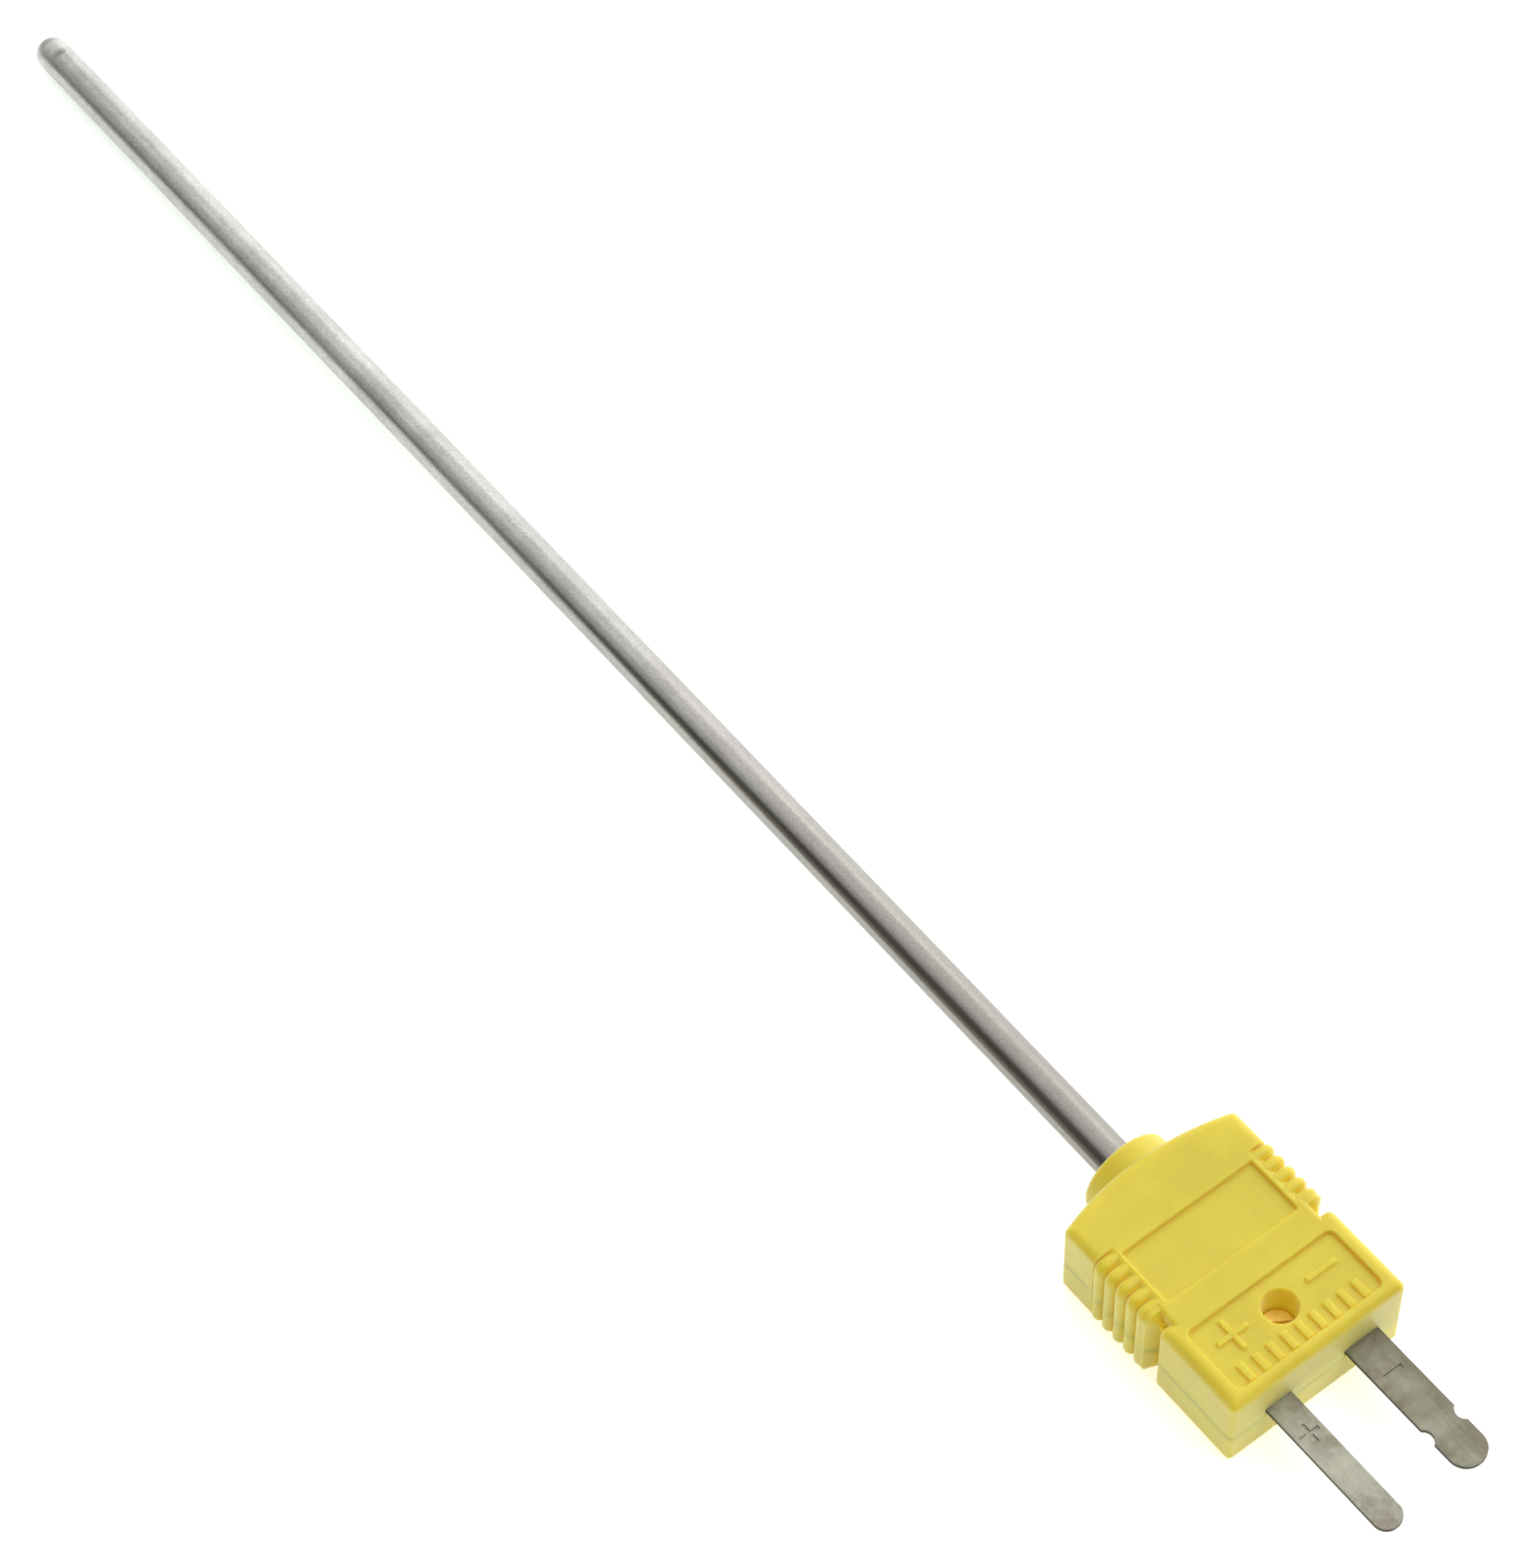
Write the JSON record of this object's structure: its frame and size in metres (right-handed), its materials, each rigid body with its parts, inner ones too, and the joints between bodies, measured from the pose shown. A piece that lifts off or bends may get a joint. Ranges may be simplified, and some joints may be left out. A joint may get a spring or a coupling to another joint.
{
  "type": "thermocouple probe",
  "caption": "Metal-sheathed thermocouple probe with a closed round tip and a small flat-blade plug in yellow plastic on its cold end.",
  "frame": {"origin": "on the probe's axis at the rear end face of the plug's round boss, where the sheath enters the plug", "axes": "+X along the probe's axis, out of the plug's front face with the blades (the probe points to -X); +Y towards the wide negative blade; +Z out of the marked face"},
  "size_m": [0.1866, 0.017, 0.0082],
  "materials": {
    "yellow_plastic": "satin moulded yellow",
    "brass": "turned brass, dull",
    "positive_alloy": "dull nickel-chromium strip",
    "negative_alloy": "dull nickel-aluminium strip",
    "stainless": "drawn and lightly polished tube",
    "plated_steel": "bright plated screws and washers",
    "magnesia": "packed white powder",
    "epoxy": "dark cast resin",
    "positive_sleeve": "yellow woven sleeving",
    "negative_sleeve": "red woven sleeving"
  },
  "bodies": {
    "root": {"upper_shell": "yellow_plastic", "lower_shell": "yellow_plastic", "cover_screw": "brass", "threaded_insert": "brass", "sheath": "stainless", "mineral_insulation": "magnesia", "measuring_junction": "positive_alloy", "end_seal": "epoxy", "crimp_sleeve": "brass", "positive_blade": "positive_alloy", "negative_blade": "negative_alloy", "positive_terminal_screw": "plated_steel", "negative_terminal_screw": "plated_steel", "positive_washer": "plated_steel", "negative_washer": "plated_steel", "positive_wire": "positive_alloy", "negative_wire": "negative_alloy", "positive_sleeving": "positive_sleeve", "negative_sleeving": "negative_sleeve"}
  },
  "joints": []
}
